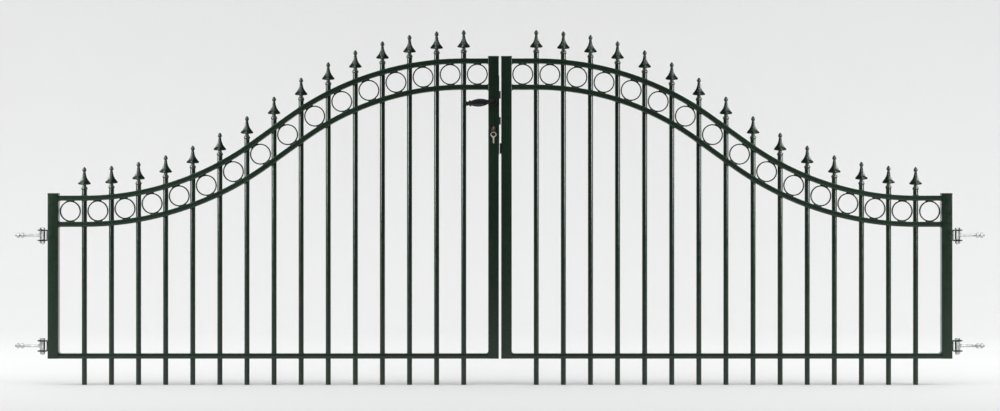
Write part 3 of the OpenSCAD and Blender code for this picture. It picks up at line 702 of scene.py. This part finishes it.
for side in ("left", "right"):
    places = hingeSizes["heights"]
    paintPiece(side, "hinge_straps", [bracket(z) for z in places], "hinge_brackets")
    paintPiece(side, "strap_welds", [bead for z in places for bead in bracketWelds(z)])
    bolts = [part for z in places for part in hingeBolt(z)]
    leafPiece(side, "pin_bolts", bolts, zinc, "zinc", "hinge_bolts")
    for z, level in zip(places, ("lower", "upper")):
        leafPiece(side, level + "_eye", eyeBolt(z), zinc, "zinc", level + "_eye_bolt", body="post_anchors")
        nuts = [hexagon(boltSizes["across"], x, x + boltSizes["nut"], (0, 0, z), "x")
                for x in eyeSizes["nuts"]]
        leafPiece(side, level + "_lock_nuts", nuts, zinc, "zinc", level + "_nuts", body="post_anchors")
print("hinges built")


# Lock, handles and keys

lockSizes = {"x": 1498.5, "faceX": 1516, "spindleZ": 853, "cylinderZ": 763, "forendMiddle": 808.5,
             "forendHalf": 131.5, "forendWide": 12, "forendThick": 1.5, "screwFromEnd": 11, "tipX": 1522.5,
             "boltLong": 22, "boltEdge": 0.5, "tallHalf": 12.5, "latchZ": 875.5, "deadZ": 789.5,
             "latchHalf": 6, "latchCorner": 0.6, "latchNose": -2, "latchSlant": 5, "deadHalf": 4,
             "deadCorner": 0.8}
screwRows = [(0, -0.7), (1.4, 0.1), (2.6, 0.22), (3.6, 0.02), (3.7, -0.5), (0, -0.5)]  # radius, height


def forend():
    # Flat strip with half-round ends: its half width follows the end circle, and the bolt holes are left out
    sizes, endRound = lockSizes, lockSizes["forendWide"]
    end = endRound * (1 - np.cos(np.linspace(0, np.pi / 2, 8)))
    low, high = sizes["forendMiddle"] - sizes["forendHalf"], sizes["forendMiddle"] + sizes["forendHalf"]
    z = np.concatenate([low + end, boltHoles["dead"], boltHoles["latch"], high - end[::-1]])
    fromEnd = np.minimum(np.minimum(z - low, high - z), endRound)
    half = np.sqrt(endRound**2 - (endRound - fromEnd)**2)
    latchShare, deadShare = (width / endRound for width in stileSizes["boltHalf"])
    shares = np.array([-1, -latchShare, -deadShare, deadShare, latchShare, 1])
    keep = np.ones((len(z) - 1, len(shares) - 1), bool)
    keep[len(end), 2] = False
    keep[len(end) + 2, 1:4] = False
    sheets = [gridOf(x, half[:, None] * shares, z[:, None])
              for x in (sizes["faceX"] + sizes["forendThick"], sizes["faceX"])]
    return plate(*sheets, keep)


def forendScrew(z):  # a flat head turned about x, hollowed by a cone for the driver
    return turned(screwRows, (lockSizes["faceX"] + lockSizes["forendThick"], 0, z), "x", 24)


def latch():  # an outline with one side slanted back from the tip, raised to the bolt's height
    sizes, tip, half = lockSizes, lockSizes["tipX"], lockSizes["latchHalf"]
    root, corner = tip - sizes["boltLong"], sizes["latchCorner"]
    outline = [(root, -half), (tip - corner, -half), (tip, corner - half), (tip, sizes["latchNose"]),
               (tip - sizes["latchSlant"], half), (root, half)]
    return prism(outline, sizes["latchZ"] - sizes["tallHalf"], sizes["latchZ"] + sizes["tallHalf"],
                 sizes["boltEdge"])


def deadBolt():  # a rounded rectangle, raised to the bolt's height
    sizes = lockSizes
    outline = roundedRect(sizes["boltLong"], 2 * sizes["deadHalf"], sizes["deadCorner"])
    outline = outline + (sizes["tipX"] - sizes["boltLong"] / 2, 0)
    return prism(outline, sizes["deadZ"] - sizes["tallHalf"], sizes["deadZ"] + sizes["tallHalf"],
                 sizes["boltEdge"])


cylinderSizes = {"radius": 8.5, "lobe": 5, "drop": 19.5, "face": 19.5, "inside": 17.0, "plug": 6.1,
                 "neckAngle": -0.94, "slotTall": 4.2, "slotShare": 0.16, "innerShare": 0.6}


def profileHalf(z):
    # Half width of the lock cylinder's outline: the circle's root, a straight neck and the foot circle's root
    sizes = cylinderSizes
    disc = np.sqrt(np.clip(sizes["radius"]**2 - z**2, 0, None))
    foot = np.sqrt(np.clip(sizes["lobe"]**2 - (z + sizes["drop"])**2, 0, None))
    return np.where(z < -sizes["drop"], foot, np.where(z < 0, np.maximum(disc, sizes["lobe"]), disc))


def lockCylinder():
    # The outline carried through the stile, at each end a face plate with a keyway cut through it,
    # and a fine turned rim round the plug
    sizes, plug = cylinderSizes, cylinderSizes["plug"]
    top = sizes["radius"] * np.sin(np.linspace(np.pi / 2, sizes["neckAngle"], 22))
    foot = -sizes["drop"] - sizes["lobe"] * np.sin(np.linspace(0, np.pi / 2, 8))
    z = np.unique(np.concatenate([top, [sizes["slotTall"], -sizes["slotTall"]], foot]))
    slot, inner = sizes["slotShare"], sizes["innerShare"]
    shares = np.array([-1, -inner, -slot, slot, inner, 1])
    x = lockSizes["x"] + profileHalf(z)[:, None] * shares
    height = lockSizes["cylinderZ"] + z[:, None]
    keep = np.ones((len(z) - 1, len(shares) - 1), bool)
    keep[:, 2] = np.abs((z[1:] + z[:-1]) / 2) > sizes["slotTall"]

    def sheet(y):
        return gridOf(x, y, height)

    rim = [(plug - 0.35, 0.14), (plug, 0.14), (plug + 0.2, -0.1), (plug - 0.5, -0.1)]
    parts = [plate(sheet(-sizes["inside"]), sheet(sizes["inside"]))]
    for way, axis in ((-1, "-y"), (1, "y")):
        parts.append(plate(sheet(way * sizes["face"]), sheet(way * sizes["inside"]), keep))
        centre = (lockSizes["x"], way * sizes["face"], lockSizes["cylinderZ"])
        parts.append(turned(rim, centre, axis, 40, ring=True))
    return parts


roseY = 17.5
roseRows = [(6.0, 0), (14, 0), (14, 1.1), (13.6, 1.9), (12.6, 2.3), (11.6, 2.35), (11.2, 2.9), (9.6, 3.6),
            (7.4, 4.0), (6.2, 3.95), (6.0, 3.7)]  # radius, height off the stile


def rose(way, axis):  # a stepped outline turned about the spindle, open in the middle for the lever's neck
    return turned(roseRows, (lockSizes["x"], way * roseY, lockSizes["spindleZ"]), axis, 56, ring=True)


leverSizes = {"length": 94, "out": 57.5, "bend": 12, "drop": 7, "neckFrom": 17.8, "neckRadius": 5.5,
              "gripRadius": 5.0, "steps": 56, "flutes": 14, "fluteDepth": 0.028, "fluteMiddle": 46,
              "fluteHalf": 26, "fluteRadius": 7, "fluteFade": 2.5}
# Distance from the spindle along the lever, and radius there
gripRows = [(13, 5.0), (15.2, 6.0), (17.6, 6.0), (19.2, 5.0), (20.6, 5.0), (25, 7.0), (32, 9.0), (40, 10.4),
            (47, 11.0), (55, 10.6), (63, 9.0), (70, 6.9), (73.6, 5.6), (75, 6.9), (76.6, 7.8), (79.6, 7.8),
            (81.2, 6.4), (82.8, 3.7), (84.6, 3.6), (87.4, 4.9), (90.4, 5.0), (92.8, 3.6), (94, 0)]


def lever(way):
    # A circle carried straight out of the rose, round a quarter bend and along the grip; its radius follows
    # the rows above, and on the grip's belly a cosine round it makes the flutes
    sizes = leverSizes
    sag = np.arcsin(sizes["drop"] / sizes["length"])
    ahead, away = np.array([-np.cos(sag), 0, -np.sin(sag)]), np.array([0, way, 0.0])
    straight, bend = sizes["out"] - sizes["bend"], sizes["bend"]
    neck = np.linspace(sizes["neckFrom"], straight, 6, endpoint=False)
    angle = np.linspace(0, np.pi / 2, 12, endpoint=False)
    grip, gripRadius = smoothLine(gripRows, 4).T
    out = np.concatenate([neck, straight + bend * np.sin(angle), np.full(len(grip), sizes["out"])])
    along = np.concatenate([np.zeros(len(neck)), bend * (1 - np.cos(angle)), grip])
    radius = np.concatenate([np.full(len(neck), sizes["neckRadius"]),
                             np.linspace(sizes["neckRadius"], sizes["gripRadius"], len(angle)),
                             np.maximum(gripRadius, 0)])
    path = np.array([lockSizes["x"], 0, lockSizes["spindleZ"]]) + out[:, None] * away + along[:, None] * ahead
    belly = np.clip((radius - sizes["fluteRadius"]) / sizes["fluteFade"], 0, 1)
    fluted = (belly * (np.abs(along - sizes["fluteMiddle"]) < sizes["fluteHalf"]))[:, None]
    wave = 0.5 + 0.5 * np.cos(sizes["flutes"] * turnAngles(sizes["steps"]))
    size = radius[:, None] * (1 - sizes["fluteDepth"] * fluted * wave)
    return swept(size[..., None] * circlePoints(1, sizes["steps"]), path, np.cross(ahead, away))


hubPlace = (-2.5, 60.5, -0.2)  # from the spindle's axis
hubRows = [(0, 2.2), (1.6, 2.0), (3.2, 1.3), (4.2, 0), (4.2, -3), (0, -3)]  # radius, height


def hub(way, axis):  # a small dome turned on the outside of the bend
    aside, out, up = hubPlace
    return turned(hubRows, (lockSizes["x"] + aside, way * out, lockSizes["spindleZ"] + up), axis, 24)


keySizes = {"thick": 1.1, "edge": 0.35, "bow": 10, "hole": 3.2, "bowY": -34.5, "holeY": -39.3,
            "bladeHalf": 3.5, "bladeFrom": 19.8, "bladeTo": 26.5, "spareBowZ": 742.4, "spareHole": (7.2, 5.8),
            "spareHoleUp": 0.9, "spareRim": (10, 8.8)}
# Height of each step down the hanging key's blade, and its left and right edges from the middle
bladeRows = [(735, -5.6, 5.6), (733, -4.4, 4.4), (731.2, -3.2, 3.2), (729.4, -3.1, 3.1), (728.2, -1.9, 3.1),
             (727.0, -2.9, 3.1), (725.6, -1.5, 3.1), (724.6, -1.5, 3.1), (723.2, -3.0, 3.1),
             (722.0, -2.0, 3.1), (720.8, -2.0, 3.1), (719.4, -3.0, 3.1), (718.0, -1.7, 3.1),
             (716.4, -2.0, 3.1), (714.6, -1.4, 2.6), (713, -0.5, 1.6)]
# Across the blade: share of its width, half thickness at the plain back and at the grooved front
bladeColumns = [(0, 0.7, 0.7), (0.1, 1.1, 1.1), (0.42, 1.1, 0.6), (0.58, 1.1, 0.6), (0.9, 1.1, 1.1),
                (1, 0.7, 0.7)]


def keyBow(hole, holeAt, rim):
    # Flat bow: rows run from the oval hole's edge to the oval rim, as (across, up) from the bow's middle,
    # and the first and last rows are thinner by the edge
    circle, edge = circlePoints(1, 44), keySizes["edge"]
    outer = np.asarray(rim, float) * circle
    inner = np.asarray(holeAt, float) + np.asarray(hole, float) * circle
    share = np.array([0, 0.06, 0.94, 1])[:, None, None]
    return inner + share * (outer - inner), np.array([edge, 0, 0, edge])[:, None, None]


def lockKey():  # bow upright on the cylinder's axis, and the blade's neck up to the cylinder's face
    sizes, middle = keySizes, lockSizes["cylinderZ"]
    bow, inset = keyBow((sizes["hole"],) * 2, (sizes["holeY"] - sizes["bowY"], 0), (sizes["bow"],) * 2)
    sheets = []
    for way in (1, -1):
        x = np.broadcast_to(lockSizes["x"] + way * (sizes["thick"] - inset), bow.shape[:2] + (1,))
        sheets.append(np.concatenate([x, bow[..., :1] + sizes["bowY"], bow[..., 1:] + middle], -1))
    outline = roundedRect(2 * sizes["thick"], 2 * sizes["bladeHalf"], 0.4, 3)
    blade = prism(outline, sizes["bladeFrom"], sizes["bladeTo"], 0.1, (lockSizes["x"], 0, middle), "-y")
    return [plate(*sheets, loop=True), blade]


def spareKey():  # an open bow, and a blade whose edges and thickness follow the rows and columns above
    sizes = keySizes
    bow, inset = keyBow(sizes["spareHole"], (0, sizes["spareHoleUp"]), sizes["spareRim"])
    sheets = []
    for way in (1, -1):
        y = np.broadcast_to(sizes["holeY"] - way * (sizes["thick"] - inset), bow.shape[:2] + (1,))
        sheets.append(np.concatenate([lockSizes["x"] + bow[..., :1], y,
                                      sizes["spareBowZ"] + bow[..., 1:]], -1))
    z, left, right = (column[:, None] for column in np.array(bladeRows).T)
    share, plain, grooved = np.array(bladeColumns).T
    x = lockSizes["x"] + left + (right - left) * share
    blade = [gridOf(x, sizes["holeY"] + depth, z) for depth in (-grooved, plain)]
    return [plate(*sheets, loop=True), plate(*blade)]


splitSizes = {"radius": 7, "topZ": 761.4, "tilt": np.pi / 4, "end": 0.3, "aside": 0.42, "crossing": 0.35,
              "wire": (0.76, 1.3, 0.25)}


def splitRing():
    # Flat wire wound twice round a circle; a smooth step at half way lays the second turn beside the first
    sizes, tilt = splitSizes, splitSizes["tilt"]
    angle = np.linspace(sizes["end"], 4 * np.pi - sizes["end"], 128)[:, None]
    flat = np.array([np.cos(tilt), np.sin(tilt), 0])
    normal = np.array([-np.sin(tilt), np.cos(tilt), 0])
    centre = np.array([lockSizes["x"], keySizes["holeY"], sizes["topZ"] - sizes["radius"]])
    shift = sizes["aside"] * np.tanh((angle - 2 * np.pi) / sizes["crossing"])
    path = centre + sizes["radius"] * (np.cos(angle) * flat + np.sin(angle) * upward)
    return swept(roundedRect(*sizes["wire"], 3), path + shift * normal, normal)


stopSizes = {"thick": 5, "depth": 24, "corner": 0.8, "bottom": 680, "top": 715, "chamfer": 0.7}


def stopBlock():  # a rounded rectangle raised beside the meeting edge
    sizes = stopSizes
    outline = roundedRect(sizes["thick"], sizes["depth"], sizes["corner"])
    outline = outline + (lockSizes["faceX"] + sizes["thick"] / 2, 0)
    return prism(outline, sizes["bottom"], sizes["top"], sizes["chamfer"])


leafBody, screwReach = "left_leaf", lockSizes["forendHalf"] - lockSizes["screwFromEnd"]
screws = [forendScrew(lockSizes["forendMiddle"] + way * screwReach) for way in (-1, 1)]
makePiece("forend_plate", [forend(), *screws], lockSteel, leafBody, ["lock_forend"])
makePiece("latch_tongue", [latch()], lockSteel, "latch", ["latch_bolt"])
makePiece("dead_bolt_bar", [deadBolt()], lockSteel, "dead_bolt", ["dead_bolt"])
# the cylinder takes the darker nickel, which is painted shade
makePiece("profile_cylinder", lockCylinder(), darkNickel, leafBody, ["lock_cylinder"])
for way, place, axis in ((-1, "front", "-y"), (1, "rear", "y")):
    makePiece(place + "_rose_plate", [rose(way, axis)], blackIron, leafBody, [place + "_rose"])
    makePiece(place + "_lever", [lever(way), hub(way, axis)], blackIron, "handle",
              [place + "_handle"])
makePiece("inserted_key", lockKey(), nickel, "key", ["key"])
makePiece("hanging_key", spareKey(), nickel, "key", ["spare_key"])
makePiece("split_ring", [splitRing()], nickel, "key", ["key_ring"])
makePiece("gap_stop", [stopBlock()], paint, "right_leaf", ["stop_block"], "right")
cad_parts["handle_spindle"].data.materials.clear()
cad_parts["handle_spindle"].data.materials.append(zinc)
print("lock, handles and keys built")


# Floor, light and camera, in metres

studio = {"middle": 1.59, "floorZ": -0.1295, "left": -22, "right": 25, "front": -5.5, "nearFront": -2,
          "wallY": 3.2, "coveRadius": 2.4, "wallHeight": 9.0, "paper": (0.80, 0.80, 0.80),
          "paperDarker": 0.99}
# Strength of the air: dark up to one height of the direction and bright from another; what the camera sees
air = {"dark": 0.05, "bright": 1.04, "darkTo": 0.35, "brightFrom": 0.6, "seen": 0.63,
       "tint": (0.99, 0.995, 1.0)}
# Places and aims: outwards from the gate's middle, back, up
lamps = {"Softbox": {"place": (3.45, -2.1, 1.47), "aim": (0.8, 0, 1.3), "size": (1.6, 2.0), "power": 185},
         "Flood": {"place": (4.2, -0.3, 3.4), "aim": (2.0, 5.0, 1.2), "size": (3.0, 1.5), "power": 132},
         "metalSoftbox": {"place": (0, -3.5, 1.2), "aim": (0, 0, 0.3), "size": (6.0, 1.5), "power": 74}}
view = {"back": 8.0, "z": 0.466, "lens": 86.7, "film": 36, "farthest": 200}


def makeBackdrop():  # floor, quarter-circle cove and wall: one line of (y, z), carried across x
    look, radius = studio, studio["coveRadius"]
    angle = np.linspace(0, np.pi / 2, 24)
    y = np.concatenate([[look["front"], look["nearFront"], 0], look["wallY"] + radius * np.sin(angle),
                        [look["wallY"] + radius]])
    z = look["floorZ"] + np.concatenate([[0, 0, 0], radius * (1 - np.cos(angle)), [look["wallHeight"]]])
    x = np.linspace(look["left"], look["right"], 12)
    grid = gridOf(x, y[:, None], z[:, None])
    mesh = bpy.data.meshes.new("backdrop")
    faces = gridQuads(len(y), len(x), False, False).reshape(-1, 4)
    mesh.from_pydata(grid.reshape(-1, 3).tolist(), [], faces.tolist())
    mesh.polygons.foreach_set("use_smooth", np.ones(len(faces), bool))
    material, shader = startMaterial("paperBackdrop", look["paper"], 0.0, 0.9)
    tones = [tuple(np.array(look["paper"]) * share) for share in (look["paperDarker"], 1)]
    colour = addRamp(material, addNoise(material, 3, 3, 0.5), [(0.3, tones[0]), (0.7, tones[1])])
    nodes, links = material.node_tree.nodes, material.node_tree.links
    links.new(colour, shader.inputs["Base Color"])
    facing, clear, mix = (nodes.new("ShaderNode" + kind)
                          for kind in ("NewGeometry", "BsdfTransparent", "MixShader"))
    links.new(facing.outputs["Backfacing"], mix.inputs["Fac"])  # clear from behind, to show the gate's back
    links.new(shader.outputs["BSDF"], mix.inputs[1])
    links.new(clear.outputs["BSDF"], mix.inputs[2])
    links.new(mix.outputs["Shader"], nodes["Material Output"].inputs["Surface"])
    mesh.materials.append(material)
    backdrop = bpy.data.objects.new("backdrop", mesh)
    bpy.context.scene.collection.objects.link(backdrop)


def makeAir():  # dark all round and bright overhead; the camera itself sees a pale paper colour
    world = bpy.data.worlds.new("studioAir")
    bpy.context.scene.world = world
    world.use_nodes = True
    nodes, links = world.node_tree.nodes, world.node_tree.links
    way, parts, spread, rays, choose = (nodes.new("ShaderNode" + kind) for kind in (
        "TexCoord", "SeparateXYZ", "MapRange", "LightPath", "Mix"))
    spread.interpolation_type = "SMOOTHSTEP"
    for socket, key in zip(rangeSockets, ("darkTo", "brightFrom", "dark", "bright")):
        spread.inputs[socket].default_value = air[key]
    choose.inputs["B"].default_value = air["seen"]
    links.new(way.outputs["Generated"], parts.inputs["Vector"])
    links.new(parts.outputs["Z"], spread.inputs["Value"])
    links.new(rays.outputs["Is Camera Ray"], choose.inputs["Factor"])
    links.new(spread.outputs["Result"], choose.inputs["A"])
    links.new(choose.outputs["Result"], nodes["Background"].inputs["Strength"])
    nodes["Background"].inputs["Color"].default_value = (*air["tint"], 1)


def softLight(name, look, way=1):  # a lamp on one side of the gate, or a like one on the other
    light = bpy.data.lights.new(name, "AREA")
    light.shape, light.energy = "RECTANGLE", look["power"]
    light.size, light.size_y = look["size"]
    lamp = bpy.data.objects.new(name, light)
    bpy.context.scene.collection.objects.link(lamp)
    place, aim = (Vector((studio["middle"] + way * out, y, z)) for out, y, z in (look["place"], look["aim"]))
    lamp.location = place
    lamp.rotation_euler = (aim - place).to_track_quat("-Z", "Y").to_euler()
    return lamp


def lightOnly(lamp, pieces):  # keeps a lamp's light to these pieces
    lit = bpy.data.collections.new(lamp.name + "Lit")
    for piece in pieces:
        lit.objects.link(piece)
    lamp.light_linking.receiver_collection = lit


makeBackdrop()
makeAir()
meshes = [piece for piece in bpy.context.scene.objects if piece.type == "MESH" and piece.data.materials]
painted = [piece for piece in meshes if piece.data.materials[0] == paint]
bright = [piece for piece in meshes if piece.data.materials[0] in (zinc, nickel)]
for side, way in (("left", -1), ("right", 1)):
    lightOnly(softLight(side + "Softbox", lamps["Softbox"], way),
              [piece for piece in painted if piece.name.startswith(side)])
    softLight(side + "Flood", lamps["Flood"], way)
lightOnly(softLight("metalSoftbox", lamps["metalSoftbox"]), bright)
bpy.context.scene.view_settings.view_transform = "Standard"

cameraData = bpy.data.cameras.new("camera")
cameraData.lens, cameraData.sensor_width, cameraData.clip_end = view["lens"], view["film"], view["farthest"]
camera = bpy.data.objects.new("camera", cameraData)
camera.location = (studio["middle"], -view["back"], view["z"])
camera.rotation_euler = (np.pi / 2, 0, 0)
bpy.context.scene.collection.objects.link(camera)
bpy.context.scene.camera = camera
print("studio built")
